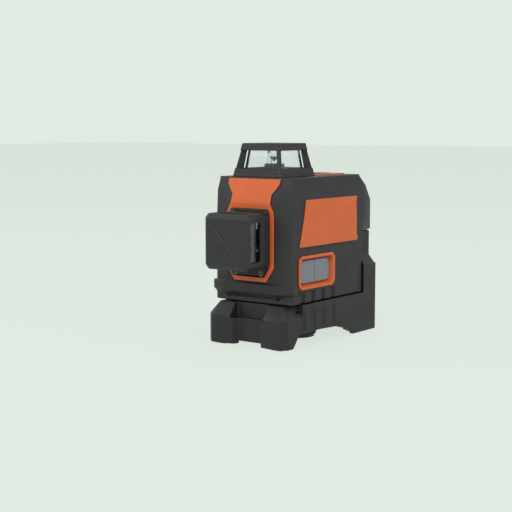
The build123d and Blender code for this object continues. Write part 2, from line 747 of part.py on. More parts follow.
with BuildPart() as ring_pins:
    for side in (-1, 1):
        foot = (side * (ring_in_r + 0.1), gimbal_y, gimbal_z)
        with BuildSketch(Plane(foot, x_dir=(0, 1, 0), z_dir=(side, 0, 0))):
            Circle(pin_r)
        extrude(amount=hanger_gap + hanger_t - 0.6 - ring_in_r)
keep(ring_pins.part, "ring_pins")

with BuildPart() as ring_bearings:
    for side in (-1, 1):
        foot = (0, gimbal_y + side * (ring_in_r + 0.9), gimbal_z)
        stand = Plane(foot, x_dir=(1, 0, 0), z_dir=(0, side, 0))
        add(bearing(stand, small_bearing_r, trunnion_r + 0.02, 2.0))
keep(ring_bearings.part, "ring_bearings")

# ---------------------------------------------------------------- pendulum
arm_half = 9.6
front_end = front_y - barrel_end
side_end = -body_half - barrel_end
with BuildPart() as pendulum_block:
    with Locations((0, gimbal_y, (block_low + block_top) / 2)):
        Box(2 * block_half, 2 * block_half, block_top - block_low)
    chamfer(pendulum_block.edges().filter_by(Axis.Z), 2.5)
    with Locations((0, gimbal_y, (block_top + gimbal_z + 4.5) / 2)):
        Cylinder(collar_r, gimbal_z + 4.5 - block_top)
    with Locations((0, (gimbal_y + block_half + side_y + arm_half) / 2 - 0.5, box_z)):
        Box(2 * arm_half, side_y + arm_half - gimbal_y - block_half + 1, 2 * arm_half)
    with Locations((0, gimbal_y, (barrel_top + 96) / 2)):
        Cylinder(barrel_r, barrel_top - 96, mode=Mode.SUBTRACT)
    with Locations((0, gimbal_y - block_half, box_z)):
        Cylinder(barrel_r, 2 * 15, rotation=(90, 0, 0), mode=Mode.SUBTRACT)
    with Locations((-arm_half, side_y, box_z)):
        Cylinder(barrel_r, 2 * 15, rotation=(0, 90, 0), mode=Mode.SUBTRACT)
    with Locations((0, gimbal_y, gimbal_z)):
        Cylinder(trunnion_r, 40, rotation=(90, 0, 0), mode=Mode.SUBTRACT)
    # lightening pocket in the back of the block
    with Locations((0, gimbal_y + block_half, 101)):
        Box(9, 4, 8, mode=Mode.SUBTRACT)
keep(pendulum_block.part, "pendulum_block")

with BuildPart() as trunnions:
    for side in (-1, 1):
        foot = (0, gimbal_y + side * (barrel_r + 0.1), gimbal_z)
        with BuildSketch(Plane(foot, x_dir=(1, 0, 0), z_dir=(0, side, 0))):
            Circle(trunnion_r)
        extrude(amount=ring_r - 0.6 - barrel_r)
keep(trunnions.part, "trunnions")


def make_barrel(name, plane, length):
    """Laser barrel that points along a plane's normal and ends in it: driver board end, body and nose."""
    with BuildPart() as barrel:
        with BuildSketch(plane):
            Circle(barrel_r)
        extrude(amount=-length)
        with BuildSketch(plane):
            Circle(barrel_bore)
        extrude(amount=-length + 4, mode=Mode.SUBTRACT)
        with BuildSketch(plane):
            Circle(sleeve_r + 0.02)
        extrude(amount=-0.8, mode=Mode.SUBTRACT)
        with BuildSketch(plane.offset(-length)):
            Circle(1.2)
        extrude(amount=5, mode=Mode.SUBTRACT)
        for back in (3.0, 5.0):
            with BuildSketch(plane.offset(-back)):
                Circle(barrel_r)
                Circle(barrel_r - 0.4, mode=Mode.SUBTRACT)
            extrude(amount=-1.0, mode=Mode.SUBTRACT)
    return keep(barrel.part, name)


top_end = Plane((0, gimbal_y, barrel_top))
front_end_plane = Plane(origin=(0, front_end, box_z), x_dir=(1, 0, 0), z_dir=(0, -1, 0))
side_end_plane = Plane(origin=(side_end, side_y, box_z), x_dir=(0, -1, 0), z_dir=(-1, 0, 0))
ends = {
    "top": (top_end, barrel_top - 96.2),
    "front": (front_end_plane, 52.7),
    "side": (side_end_plane, 59.4),
}
for name, (plane, length) in ends.items():
    make_barrel(f"{name}_barrel", plane, length)

with BuildPart() as lenses:
    for plane, length in ends.values():
        with BuildSketch(plane.offset(-9)):
            Circle(barrel_bore)
        extrude(amount=1.8)
keep(lenses.part, "lenses")

with BuildPart() as diodes:
    for plane, length in ends.values():
        with BuildSketch(plane.offset(4 - length)):
            Circle(2.8)
        extrude(amount=1.2)
        with BuildSketch(plane.offset(5.2 - length)):
            Circle(2.2)
        extrude(amount=2.4)
keep(diodes.part, "diodes")

with BuildPart() as sleeves:
    for plane, length in ends.values():
        with BuildSketch(plane.offset(-0.8)):
            Circle(sleeve_r)
            Circle(sleeve_r - sleeve_t, mode=Mode.SUBTRACT)
        extrude(amount=sleeve_len + 0.8)
keep(sleeves.part, "sleeves")

with BuildPart() as cone_mirrors:
    for plane, length in ends.values():
        with BuildSketch(plane.offset(sleeve_len)):
            Circle(disc_r)
        extrude(amount=disc_t)
        with BuildSketch(plane.offset(sleeve_len + disc_t)):
            Circle(4.4)
        extrude(amount=knob_t)
        rim = sleeve_r - sleeve_t - 0.1
        tip = Plane(origin=plane.origin, x_dir=plane.x_dir, z_dir=plane.z_dir)
        with BuildSketch(Plane(tip.origin, x_dir=tip.x_dir, z_dir=tip.x_dir.cross(tip.z_dir))):
            with BuildLine():
                cone = [(0, sleeve_len), (rim, sleeve_len), (rim, sleeve_len - 0.8)]
                Polyline(*cone, (0, sleeve_len - rim - 0.8), close=True)
            make_face()
        revolve(axis=Axis(tip.origin, tip.z_dir))
keep(cone_mirrors.part, "cone_mirrors")

with BuildPart() as pendulum_weight:
    with Locations((0, gimbal_y, block_low)):
        Box(24, 24, weight_t, align=(Align.CENTER, Align.CENTER, Align.MAX))
    chamfer(pendulum_weight.edges().filter_by(Axis.Z), 2.5)
keep(pendulum_weight.part, "pendulum_weight")

damper_z = block_low - weight_t - 2.5
with BuildPart() as damper_disc:
    with Locations((0, gimbal_y, damper_z)):
        Cylinder(damper_r, damper_t, align=(Align.CENTER, Align.CENTER, Align.MAX))
        Cylinder(5, 2.5, align=(Align.CENTER, Align.CENTER, Align.MIN))
keep(damper_disc.part, "damper_disc")

with BuildPart() as balance_weight:
    with Locations((block_half, balance_y, balance_z)):
        Box(*balance_size, align=(Align.MIN, Align.CENTER, Align.CENTER))
    chamfer(balance_weight.edges().filter_by(Axis.X), 1.5)
keep(balance_weight.part, "balance_weight")

with BuildPart() as trim_screws:
    for side in (-1, 1):
        with BuildSketch(Plane((side * block_half, gimbal_y, 102.0), z_dir=(side, 0, 0))):
            Circle(2.6)
        extrude(amount=1.4)
keep(trim_screws.part, "trim_screws")

# ---------------------------------------------------------------- pendulum lock
slope = lock_lift / lock_travel
floor_top = floor_z + floor_t
bar_z0, bar_z1 = floor_top + 0.5, floor_top + 3.5
wedge_z = floor_top + 6.5  # top of the wedge below the plunger, at rest
with BuildPart() as lock_slider:
    with Locations((-body_half - 0.1, lock_y, lock_z)):
        Box(2.4, 16, 14, align=(Align.MAX, Align.CENTER, Align.CENTER))
    chamfer(lock_slider.faces().sort_by(Axis.X)[0].edges(), 0.8)
    with Locations(*[(-body_half - 2.5, lock_y + 3.0 * i, lock_z) for i in (-2, -1, 0, 1, 2)]):
        Box(1.2, 1.2, 9, mode=Mode.SUBTRACT)
    with Locations((-body_half - 0.2, lock_y, lock_z)):
        Box(wall + 0.6, 6, 4, align=(Align.MIN, Align.CENTER, Align.CENTER))
    inner_x = -body_half + wall + 0.1
    with Locations((inner_x, lock_y, bar_z0)):
        Box(2.0, 18, lock_z + 6 - bar_z0, align=(Align.MIN, Align.CENTER, Align.MIN))
    with Locations((inner_x, lock_y + 2.5, bar_z0)):
        Box(4.0 - inner_x, 15, bar_z1 - bar_z0, align=(Align.MIN, Align.CENTER, Align.MIN))
    with BuildSketch(Plane.YZ.offset(-4)):
        with BuildLine():
            y0, y1 = lock_y - 5, lock_y + 10
            Polyline(
                (y0, bar_z1 - 0.5),
                (y1, bar_z1 - 0.5),
                (y1, wedge_z - slope * (y1 - gimbal_y)),
                (y0, wedge_z - slope * (y0 - gimbal_y)),
                close=True,
            )
        make_face()
    extrude(amount=8)
keep(lock_slider.part, "lock_slider")

plunger_top = damper_z - damper_t - lock_lift - 1.2
with BuildPart() as lock_plunger:
    with BuildSketch(Plane.YZ.offset(-4)):
        with BuildLine():
            Polyline(
                (gimbal_y - 3.5, wedge_z + 0.1 + slope * 3.5),
                (gimbal_y + 3.5, wedge_z + 0.1 - slope * 3.5),
                (gimbal_y + 3.5, wedge_z + 3),
                (gimbal_y - 3.5, wedge_z + 3),
                close=True,
            )
        make_face()
    extrude(amount=8)
    with Locations((0, gimbal_y, wedge_z + 2)):
        Cylinder(3.0, plunger_top - wedge_z - 2, align=(Align.CENTER, Align.CENTER, Align.MIN))
    fillet(lock_plunger.faces().sort_by(Axis.Z)[-1].edges(), 1.0)
keep(lock_plunger.part, "lock_plunger")

magnet_spots = [(9.0 * sx, gimbal_y + 9.0 * sy) for sx in (-1, 1) for sy in (-1, 1)]
with BuildPart() as lock_stand:
    with BuildSketch(Plane((0, 0, stand_z + 1))):
        with Locations((-1, -30)):
            RectangleRounded(29, 33, 3)
    extrude(amount=2)
    with Locations((0, gimbal_y, stand_z + 1)):
        Cylinder(5.5, 4.2, align=(Align.CENTER, Align.CENTER, Align.MIN))
        Cylinder(3.0 + run, 30, mode=Mode.SUBTRACT)
    with Locations((10.5, gimbal_y, floor_top)):
        Box(3, 24, stand_z + 1.5 - floor_top, align=(Align.CENTER, Align.CENTER, Align.MIN))
    with Locations((-12.5, -44.3, floor_top), (-12.8, -15.9, floor_top)):
        Cylinder(1.9, stand_z + 1.5 - floor_top, align=(Align.CENTER, Align.CENTER, Align.MIN))
    with Locations(*[(x, y, stand_z + 3) for x, y in magnet_spots]):
        Cylinder(3.5 + run, 2 * 0.8, mode=Mode.SUBTRACT)
keep(lock_stand.part, "lock_stand")

with BuildPart() as damper_magnets:
    with Locations(*[(x, y, stand_z + 2.2) for x, y in magnet_spots]):
        Cylinder(3.5, 3.4, align=(Align.CENTER, Align.CENTER, Align.MIN))
keep(damper_magnets.part, "damper_magnets")

# ---------------------------------------------------------------- battery, main board and charging port
cell_y, cell_x, cell_z0, cell_len, cell_r = 39.0, 10.0, 42.0, 65.0, 9.2
with BuildPart() as battery_cells:
    with Locations(*[(side * cell_x, cell_y, cell_z0) for side in (-1, 1)]):
        Cylinder(cell_r, cell_len, align=(Align.CENTER, Align.CENTER, Align.MIN))
    chamfer(battery_cells.edges().filter_by(GeomType.CIRCLE), 0.6)
keep(battery_cells.part, "battery_cells")

with BuildPart() as battery_holder:
    with Locations((0, 28.4, floor_top)):
        Box(42, 2.2, cell_z0 + cell_len + 2 - floor_top, align=(Align.CENTER, Align.CENTER, Align.MIN))
    with Locations((0, 38.4, floor_top)):
        Box(42, 20, cell_z0 - floor_top, align=(Align.CENTER, Align.CENTER, Align.MIN))
    with Locations((0, 38.4, cell_z0 + cell_len)):
        Box(42, 20, 2, align=(Align.CENTER, Align.CENTER, Align.MIN))
keep(battery_holder.part, "battery_holder")

with BuildPart() as main_board:
    with Locations((0, 25.3, 50)):
        Box(46, board_t, 56, align=(Align.CENTER, Align.CENTER, Align.MIN))
    with Locations(*[(x, 26.0, z) for x in (-18, 18) for z in (54, 102)]):
        Cylinder(1.8, 2.6, rotation=(90, 0, 0))
keep(main_board.part, "main_board")

with BuildPart() as charge_port:
    with BuildSketch(Plane.XZ.offset(-rear_y + flap_t + 0.2)):
        with Locations((flap_x, flap_z)):
            RectangleRounded(9.0, 3.3, 1.5)
            RectangleRounded(8.2, 2.5, 1.2, mode=Mode.SUBTRACT)
    extrude(amount=7.4)
    with BuildSketch(Plane.XZ.offset(-rear_y + flap_t + 7.0)):
        with Locations((flap_x, flap_z)):
            Rectangle(9.0, 3.3)
    extrude(amount=1.0)
    with BuildSketch(Plane.XZ.offset(-rear_y + flap_t + 1.4)):
        with Locations((flap_x, flap_z)):
            Rectangle(6.6, 0.7)
    extrude(amount=6)
    with Locations((flap_x, rear_y - wall - 3.4, flap_z - 1.65)):
        Box(16, 6.6, 1.2, align=(Align.CENTER, Align.CENTER, Align.MAX))
keep(charge_port.part, "charge_port")

with BuildPart() as port_flap:
    with BuildSketch(Plane.XZ.offset(-rear_y)):
        with Locations((flap_x, flap_z)):
            RectangleRounded(flap_w, flap_h, 0.8)
    extrude(amount=flap_t - 0.15)
    with BuildSketch(Plane.XZ.offset(-rear_y + flap_t - 0.15)):
        with Locations((flap_x, flap_z)):
            RectangleRounded(7.6, 1.9, 0.9)
            Rectangle(7.4, 1.1, mode=Mode.SUBTRACT)
    extrude(amount=0.8)
    with Locations((flap_x, rear_y, flap_z - flap_h / 2 + 1.2)):
        Box(6, 1.0, 1.0, mode=Mode.SUBTRACT)
keep(port_flap.part, "port_flap")

# ---------------------------------------------------------------- bracket
arch = [(-58.5, -1), (-57.5, 0.5), (-49.0, 11.0), (-20.0, 11.6), (3.5, 10.6)]
arch += [(20.0, 6.4), (27.0, 2.2), (28.5, -1)]
wall_arc = turn_r + turn_gap
foot_pad_spots = [(27.0, -62.5, 10.0, 5.0), (28.0, 50.5, 12.0, 18.0)]
insert_r = 5.2
spoke_h = 3.5


def base_outline():
    """Plan of the bracket: bastion feet in front with a recess between them, chamfered corners behind."""
    with BuildSketch() as plan:
        with BuildLine():
            front = [(0, nose[0][1])] + nose
            half = front[1:] + [(bracket_half, back_y - 4), (bracket_half - 4, back_y)]
            Polyline(*half, *[(-x, y) for x, y in reversed(half)], close=True)
        make_face()
    return plan.sketch


def wall_outline(half, rear, cut):
    """Plan of a storey of the back wall, its rear corners cut off."""
    with BuildSketch() as plan:
        with BuildLine():
            right = [(half, rear - 24), (half, rear - cut), (half - cut, rear)]
            Polyline(*right, *[(-x, y) for x, y in reversed(right)], close=True)
        make_face()
    return plan.sketch


with BuildPart() as bracket:
    with BuildSketch(Plane.XY.offset(pad_t)):
        add(base_outline())
    extrude(amount=nose_top - pad_t)
    with BuildSketch(Plane.XY.offset(nose_top)):
        add(base_outline())
        with Locations((0, nose_back)):
            Rectangle(200, 200, align=(Align.CENTER, Align.MAX), mode=Mode.SUBTRACT)
    extrude(amount=deck_z - nose_top)
    # bevelled top of the nose
    with BuildSketch(Plane.XY.offset(nose_top)):
        with BuildLine():
            side = nose[1:] + [(bracket_half, nose_back + 12)]
            Polyline(*side, *[(-x, y) for x, y in reversed(side)], close=True)
        make_face()
    extrude(amount=deck_z - nose_top, taper=38)
    with Locations((0, notch_y, notch_z)):
        Box(2 * notch_half, 30, 30, align=(Align.CENTER, Align.MAX, Align.MIN), mode=Mode.SUBTRACT)
    # back wall, hollowed round the turning axis
    with BuildSketch(Plane.XY.offset(deck_z - 1)):
        add(wall_outline(cheek_half, back_y, 4.0))
    extrude(amount=cheek_top - deck_z + 1)
    with BuildSketch(Plane.XY.offset(cheek_top - 1)):
        add(wall_outline(wall_half, back_y - 0.8, 2.5))
    extrude(amount=wall_top - cheek_top + 1)
    with BuildSketch(Plane.XZ):
        for sx in (-1, 1):
            with BuildLine():
                x0, x1 = sx * wall_half, sx * cheek_half
                Polyline(
                    (x0 - sx, cheek_top - 1),
                    (x1, cheek_top - 1),
                    (x0, cheek_top + 8),
                    (x0 - sx, cheek_top + 8),
                    close=True,
                )
            make_face()
    extrude(amount=-(back_y - 4.5))
    with BuildSketch(Plane.XY.offset(deck_z)):
        Circle(wall_arc)
    extrude(amount=wall_top - deck_z + 1, mode=Mode.SUBTRACT)
    # underside
    with BuildSketch(Plane.XY.offset(pad_t)):
        with BuildLine():
            s = skirt
            inner = [(nose[0][0] - 1, nose[0][1] + s), (14.5, nose[1][1] + s), (26.0, nose[2][1] + s)]
            inner += [(32.0, nose[3][1] + s), (bracket_half - s, nose[4][1] + s)]
            inner += [(bracket_half - s, back_y - 7), (bracket_half - 4 - s, back_y - 8)]
            Polyline(*inner, *[(-x, y) for x, y in reversed(inner)], close=True)
        make_face()
    extrude(amount=nose_roof - pad_t, mode=Mode.SUBTRACT)
    with BuildSketch(Plane.XY.offset(nose_roof - 0.5)):
        Rectangle(2 * (bracket_half - skirt), 2 * 49)
    extrude(amount=deck_z - deck_t - nose_roof + 0.5, mode=Mode.SUBTRACT)
    with BuildSketch(Plane.YZ):
        with BuildLine():
            Polyline(*arch, close=True)
        make_face()
    extrude(amount=60, both=True, mode=Mode.SUBTRACT)
    with Locations((0, -60, pad_t)):
        Box(2 * nose[0][0] + 2, 20, 4, mode=Mode.SUBTRACT)
    # feet: closed pockets that take the rubber pads
    for sx in (-1, 1):
        for x, y, w, d in foot_pad_spots:
            with Locations((sx * x, y, pad_t)):
                Box(w + 3, d + 3, 5, align=(Align.CENTER, Align.CENTER, Align.MIN))
                Box(w + 2 * slack, d + 2 * slack, 2 * 1.6, mode=Mode.SUBTRACT)
    # hub boss and ribs
    with Locations((0, 0, hub_z0 + hub_flange_t)):
        Cylinder(boss_r, deck_z - 1 - hub_z0 - hub_flange_t, align=(Align.CENTER, Align.CENTER, Align.MIN))
    with Locations((0, small_thread_y, hub_z0)):
        Cylinder(insert_r + 2.2, deck_z - 1 - hub_z0, align=(Align.CENTER, Align.CENTER, Align.MIN))
    for angle in (0, 60, 120, 180, 240, 300):
        spoke = Plane((0, 0, 0), x_dir=Vector(1, 0, 0).rotate(Axis.Z, angle))
        with BuildSketch(spoke.offset(deck_z - deck_t - spoke_h)):
            with Locations((boss_r - 1, 0)):
                Rectangle(bracket_half - boss_r - 1, 2.0, align=(Align.MIN, Align.CENTER))
        extrude(amount=spoke_h + 0.5)
    with Locations((0, 0, deck_z / 2)):
        Cylinder(hub_r + 0.02, 60, mode=Mode.SUBTRACT)
    with Locations((0, small_thread_y, hub_z0)):
        Cylinder(insert_r + 0.02, 2 * (small_thread_len + 4), mode=Mode.SUBTRACT)
    # ribs on the sides
    for sx in (-1, 1):
        with Locations(*[(sx * bracket_half, grip_y0 + 2 + grip_step * i, 22) for i in range(4)]):
            Box(1.8, 5.0, 15)
    # magnet pockets, a keyhole and two strap slots in the wall
    with BuildSketch(Plane.XZ.offset(-back_y + 0.8)):
        with Locations((-19, 64), (19, 64)):
            Circle(magnet_r + run)
    extrude(amount=magnet_t, mode=Mode.SUBTRACT)
    with BuildSketch(Plane.XZ.offset(-back_y)):
        with Locations((-20, 25), (20, 25)):
            Circle(magnet_r + run)
    extrude(amount=magnet_t, mode=Mode.SUBTRACT)
    with BuildSketch(Plane.XZ.offset(-back_y - 1)):
        with Locations((0, 58)):
            Circle(4.2)
        with Locations((0, 63)):
            SlotCenterToCenter(9, 4.4, rotation=90)
    extrude(amount=12, mode=Mode.SUBTRACT)
keep(bracket.part, "bracket")

with BuildPart() as foot_pads:
    for sx in (-1, 1):
        for x, y, w, d in foot_pad_spots:
            with BuildSketch():
                with Locations((sx * x, y)):
                    RectangleRounded(w, d, 1.5)
            extrude(amount=pad_t + 1.6)
keep(foot_pads.part, "foot_pads")

with BuildPart() as wall_magnets:
    with BuildSketch(Plane.XZ.offset(-back_y + 0.8 + magnet_t - 0.2)):
        with Locations((-19, 64), (19, 64)):
            Circle(magnet_r)
    extrude(amount=-(magnet_t - 0.2))
    with BuildSketch(Plane.XZ.offset(-back_y + magnet_t - 0.2)):
        with Locations((-20, 25), (20, 25)):
            Circle(magnet_r)
    extrude(amount=-(magnet_t - 0.2))
keep(wall_magnets.part, "wall_magnets")

hub_top = floor_top + bush_t * 0.5
with BuildPart() as hub:
    with Locations((0, 0, hub_z0)):
        Cylinder(hub_flange_r, hub_flange_t, align=(Align.CENTER, Align.CENTER, Align.MIN))
        Cylinder(hub_r, hub_top + run - hub_z0, align=(Align.CENTER, Align.CENTER, Align.MIN))
    with Locations((0, 0, hub_z0)):
        add(tripod_tapping(large_thread_r, large_thread_len), mode=Mode.SUBTRACT)
    with PolarLocations(7.5, 3):
        with Locations((0, 0, hub_top - 7)):
            Cylinder(1.25, 20, align=(Align.CENTER, Align.CENTER, Align.MIN), mode=Mode.SUBTRACT)
keep(hub.part, "hub")

with BuildPart() as small_insert:
    with Locations((0, small_thread_y, hub_z0)):
        Cylinder(insert_r, small_thread_len + 4, align=(Align.CENTER, Align.CENTER, Align.MIN))
        add(tripod_tapping(small_thread_r, small_thread_len), mode=Mode.SUBTRACT)
keep(small_insert.part, "small_insert")

with BuildPart() as thrust_washer:
    with Locations((0, 0, deck_z)):
        Cylinder(24, floor_z - deck_z - run, align=(Align.CENTER, Align.CENTER, Align.MIN))
        Cylinder(hub_r + 0.1, 10, mode=Mode.SUBTRACT)
keep(thrust_washer.part, "thrust_washer")

with BuildPart() as hub_bush:
    with Locations((0, 0, floor_z)):
        Cylinder(hub_r + run + bush_t - 0.01, floor_t, align=(Align.CENTER, Align.CENTER, Align.MIN))
    with Locations((0, 0, floor_top)):
        Cylinder(hub_r + run + bush_t + 1.9, bush_t * 0.5, align=(Align.CENTER, Align.CENTER, Align.MIN))
    with Locations((0, 0, floor_z)):
        Cylinder(hub_r + run, 20, mode=Mode.SUBTRACT)
keep(hub_bush.part, "hub_bush")

with BuildPart() as retainer:
    with Locations((0, 0, hub_top + run)):
        Cylinder(retainer_r, retainer_t, align=(Align.CENTER, Align.CENTER, Align.MIN))
    with PolarLocations(7.5, 3):
        with Locations((0, 0, hub_top)):
            Cylinder(1.25 + slack, 10, mode=Mode.SUBTRACT)
    chamfer(retainer.faces().sort_by(Axis.Z)[-1].edges().filter_by(lambda e: e.radius > 10), 0.5)
keep(retainer.part, "retainer")

with BuildPart() as retainer_screws:
    with PolarLocations(7.5, 3):
        with Locations((0, 0, hub_top + run + retainer_t)):
            Cylinder(2.4, 1.6, align=(Align.CENTER, Align.CENTER, Align.MIN))
            Cylinder(1.25, retainer_t + 6, align=(Align.CENTER, Align.CENTER, Align.MAX))
keep(retainer_screws.part, "retainer_screws")

for piece in finished:
    export_step(piece, f"parts/{piece.label}.step")
print(len(finished), "pieces")
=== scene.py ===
# %% [markdown]
# # A self-levelling laser level on its magnetic bracket
#
# The level has a black moulded housing with orange trim, a square window box on its front and
# another on its left, a small cage on top, and an L-shaped bracket that it turns on. The packed
# model gives every solid its size and place. This lesson softens the moulded edges, gives each
# finish its grain and wear, paints a light edge highlight on the mouldings' corners, adds the
# small moulded details, and sets up the light, the floor and the camera.

# %% The frame
import json
from math import cos, pi, radians, sin

import bmesh
import bpy
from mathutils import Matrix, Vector

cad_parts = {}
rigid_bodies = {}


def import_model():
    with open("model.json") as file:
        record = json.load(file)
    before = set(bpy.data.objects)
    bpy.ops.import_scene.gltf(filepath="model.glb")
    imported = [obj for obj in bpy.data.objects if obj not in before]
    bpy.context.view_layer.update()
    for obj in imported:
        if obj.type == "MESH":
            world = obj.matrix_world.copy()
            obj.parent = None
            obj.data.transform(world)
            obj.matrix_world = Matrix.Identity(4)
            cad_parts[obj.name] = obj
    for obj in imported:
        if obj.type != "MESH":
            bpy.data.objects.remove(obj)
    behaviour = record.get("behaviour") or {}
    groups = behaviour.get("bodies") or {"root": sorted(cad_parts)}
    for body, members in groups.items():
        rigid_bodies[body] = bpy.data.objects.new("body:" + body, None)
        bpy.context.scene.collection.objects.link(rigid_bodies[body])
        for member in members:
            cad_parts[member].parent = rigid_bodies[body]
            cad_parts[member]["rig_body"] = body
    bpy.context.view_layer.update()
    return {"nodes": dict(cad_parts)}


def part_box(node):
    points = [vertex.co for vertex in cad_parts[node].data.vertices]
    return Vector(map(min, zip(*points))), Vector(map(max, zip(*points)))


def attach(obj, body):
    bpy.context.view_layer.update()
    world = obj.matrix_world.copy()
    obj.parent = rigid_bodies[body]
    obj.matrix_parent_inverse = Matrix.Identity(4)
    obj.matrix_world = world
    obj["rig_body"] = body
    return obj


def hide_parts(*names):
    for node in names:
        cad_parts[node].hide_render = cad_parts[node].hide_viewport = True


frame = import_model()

mm = 0.001
nodes = frame["nodes"]
for plain in list(bpy.data.materials):
    plain.name = "cad." + plain.name  # leaves the slots' own names free for the finishes below
print("solids in the frame:", len(nodes))

# %% [markdown]
# ## The camera
#
# It comes early, so that every later step can be looked at. A long lens from a metre away keeps
# the upright edges almost parallel, as in a catalogue picture. The camera is placed by its
# bearing round the level, its height angle and its distance from the point that it looks at.

# %% Camera
look_at = Vector((0.00023, -0.05446, 0.07038))
bearing, height_angle, distance = radians(36.91), radians(6.42), 0.905
flat = cos(height_angle)
away = Vector((sin(bearing) * flat, -cos(bearing) * flat, sin(height_angle)))
lens = bpy.data.cameras.new("catalogue_lens")
lens.lens, lens.sensor_width = 81.42, 36.0
lens.clip_start, lens.clip_end = 0.05, 40.0
camera = bpy.data.objects.new("catalogue_camera", lens)
bpy.context.scene.collection.objects.link(camera)
camera.location = look_at + distance * away
camera.rotation_euler = (-away).to_track_quat("-Z", "Y").to_euler()
bpy.context.scene.camera = camera
print("camera at", [round(c, 4) for c in camera.location])

# %% [markdown]
# ## Sums in a material
#
# A pattern is easier to read as a sum, such as `0.4 + 0.1 * grain`, than as a row of boxes and
# wires. `Wire` holds one output of a node, and each operator on it adds the Math node that does
# the sum. `Finish` holds one material, and its one method `node` adds any other kind of node.

# %% Wire and Finish
class Wire:
    """One output of a node, on which + - * / and ** add Math nodes."""

    def __init__(self, finish, socket):
        self.finish, self.socket = finish, socket

    def sum(self, operation, first, second=0.0):
        settings = {"operation": operation}
        return self.finish.node("ShaderNodeMath", settings, {0: first, 1: second})

    def __add__(self, other): return self.sum("ADD", self, other)
    def __radd__(self, other): return self.sum("ADD", other, self)
    def __sub__(self, other): return self.sum("SUBTRACT", self, other)
    def __rsub__(self, other): return self.sum("SUBTRACT", other, self)
    def __mul__(self, other): return self.sum("MULTIPLY", self, other)
    def __rmul__(self, other): return self.sum("MULTIPLY", other, self)
    def __truediv__(self, other): return self.sum("DIVIDE", self, other)
    def __rtruediv__(self, other): return self.sum("DIVIDE", other, self)
    def __pow__(self, other): return self.sum("POWER", self, other)


def find(sockets, key):
    """A socket by its place, its identifier or its name."""
    if isinstance(key, int):
        return sockets[key]
    return next((s for s in sockets if s.identifier == key), None) or sockets[key]


class Finish:
    """A material with its surface shader, built up node by node."""

    def __init__(self, name):
        self.material = bpy.data.materials.new(name)
        self.material.use_nodes = True
        self.tree = self.material.node_tree
        self.surface = next(n for n in self.tree.nodes if n.type == "BSDF_PRINCIPLED")

    def plug(self, socket, value):
        if isinstance(value, Wire):
            self.tree.links.new(value.socket, socket)
        else:
            socket.default_value = value

    def node(self, kind, settings, values, out=0):
        made = self.tree.nodes.new(kind)
        for key, setting in settings.items():
            if key == "stops":
                for stop, (place, colour) in zip(made.color_ramp.elements, setting):
                    stop.position, stop.color = place, colour
            else:
                setattr(made, key, setting)
        for key, value in values.items():
            self.plug(find(made.inputs, key), value)
        return Wire(self, find(made.outputs, out))

    def place(self):
        """Where a point is on the piece, in metres."""
        return self.node("ShaderNodeTexCoord", {}, {}, "Object")

    def noise(self, size, detail=2.0, rough=0.5, place=None):
        """Soft random pattern from 0 to 1 whose blobs are about that size, in metres."""
        values = {
            "Vector": place or self.place(), "Scale": 1 / size,
            "Detail": detail, "Roughness": rough,
        }
        return self.node("ShaderNodeTexNoise", {}, values, "Fac")

    def ramp(self, wire, low, high):
        """0 below low, 1 above high, and a straight climb between."""
        values = {"Value": wire, "From Min": low, "From Max": high}
        return self.node("ShaderNodeMapRange", {"clamp": True}, values, "Result")

    def blend(self, share, first, second):
        """Colour between two others."""
        values = {"Factor_Float": share, "A_Color": first, "B_Color": second}
        return self.node("ShaderNodeMix", {"data_type": "RGBA"}, values, "Result_Color")

    def bump(self, height, strength, depth):
        """Normal of a surface that stands out by height times depth, in metres."""
        values = {"Height": height, "Strength": strength, "Distance": depth}
        return self.node("ShaderNodeBump", {}, values, "Normal")

    def set(self, **values):
        for key, value in values.items():
            self.plug(self.surface.inputs[key.replace("_", " ")], value)
        return self.material


def rgb(*parts):
    return (*parts, 1.0)


finishes = {}
print("surface shader inputs:", len(Finish("spare").surface.inputs))
bpy.data.materials.remove(bpy.data.materials["spare"])

# %% [markdown]
# ## Moulded plastics
#
# The tools that mould a housing are spark-eroded, which leaves a fine even grain of about a third
# of a millimetre. Handling polishes the grain in soft patches. Corners are painted a little
# lighter, partly as rubbed wear and partly as a painted highlight where a rounded edge catches
# the light. Corners are found by comparing the Bevel node's rounded normal with the true one, so
# they are found on any shape.

# %% Moulded plastic
patch_size, speck_size, corner_radius = 0.016, 0.0011, 0.0006  # in metres
darker, patch_share, dust_share = 0.78, 0.35, 0.12


def moulded(name, colour, dust_wear_and_highlight, rough, grain=0.00035, depth=0.00003, corner_wear_and_highlight=0.5):
    """Plastic of a colour; the next colour is the lighter one of dust specks and of rubbed corners,
    which also carry a painted edge highlight. Grain and depth are in metres.
    """
    plastic = Finish(name)
    fine = plastic.noise(grain, 3.0, 0.6)
    patches = plastic.noise(patch_size, 3.0, 0.55)
    specks = plastic.noise(speck_size, 4.0, 0.7)
    rounded = plastic.node("ShaderNodeBevel", {"samples": 4}, {"Radius": corner_radius}, "Normal")
    true = plastic.node("ShaderNodeNewGeometry", {}, {}, "Normal")
    settings = {"operation": "DOT_PRODUCT"}
    same = plastic.node("ShaderNodeVectorMath", settings, {0: rounded, 1: true}, "Value")
    # corner mask: rubbed wear together with a painted edge highlight, broken up by specks
    edge = plastic.ramp(1.0 - same, 0.01, 0.2) * plastic.ramp(specks, 0.35, 0.65)
    shade = rgb(*(c * darker for c in colour))
    tone = plastic.blend(patch_share * plastic.ramp(patches, 0.3, 0.75), rgb(*colour), shade)
    dust = plastic.blend(dust_share * plastic.ramp(specks, 0.62, 0.8), tone, rgb(*dust_wear_and_highlight))
    plastic.set(
        # lighter corners here are painted edge highlight as well as rubbed wear; specks are dust
        Base_Color=plastic.blend(edge * corner_wear_and_highlight, dust, rgb(*dust_wear_and_highlight)),
        Roughness=rough + 0.16 * (patches - 0.5) + 0.12 * (fine - 0.5) - 0.1 * edge,
        Normal=plastic.bump(fine, 0.55, depth),
        Specular_IOR_Level=0.35,
    )
    finishes[name] = plastic.material


